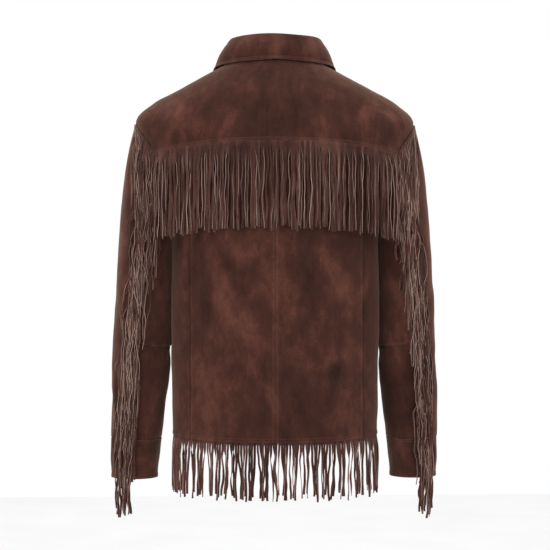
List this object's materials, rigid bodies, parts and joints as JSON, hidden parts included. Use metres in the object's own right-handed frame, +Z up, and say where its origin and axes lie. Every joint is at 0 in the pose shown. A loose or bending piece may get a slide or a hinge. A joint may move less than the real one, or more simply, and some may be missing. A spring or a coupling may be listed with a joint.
{
  "type": "fringed suede jacket",
  "caption": "Dark brown suede shirt jacket, hollow as worn, with a shirt collar, a back yoke, button front and long cut fringe on the yoke, sleeves and back hem.",
  "frame": {"origin": "middle of the neck opening, level with the points where the shoulder ridges meet the collar, where the wearer's shoulders hold it up", "axes": "+Z up; +Y towards the jacket's back; +X towards the wearer's left"},
  "size_m": [0.6006, 0.2567, 0.8624],
  "materials": {
    "suede": "napped suede, matt",
    "fringe": "cut suede strands, matt, paler at the cut edges",
    "button": "satin dark horn"
  },
  "bodies": {
    "root": {"back_centre_left": "suede", "back_centre_right": "suede", "back_side_left": "suede", "back_side_right": "suede", "button_1": "button", "button_2": "button", "button_3": "button", "button_4": "button", "button_5": "button", "button_6": "button", "collar_fall": "suede", "collar_stand": "suede", "cuff_left": "suede", "cuff_right": "suede", "front_left": "suede", "front_right": "suede", "hem_fringe": "fringe", "placket": "suede", "sleeve_fringe_left": "fringe", "sleeve_fringe_right": "fringe", "sleeve_top_left": "suede", "sleeve_top_right": "suede", "sleeve_under_lower_left": "suede", "sleeve_under_lower_right": "suede", "sleeve_under_upper_left": "suede", "sleeve_under_upper_right": "suede", "yoke": "suede", "yoke_fringe": "fringe"}
  },
  "joints": []
}
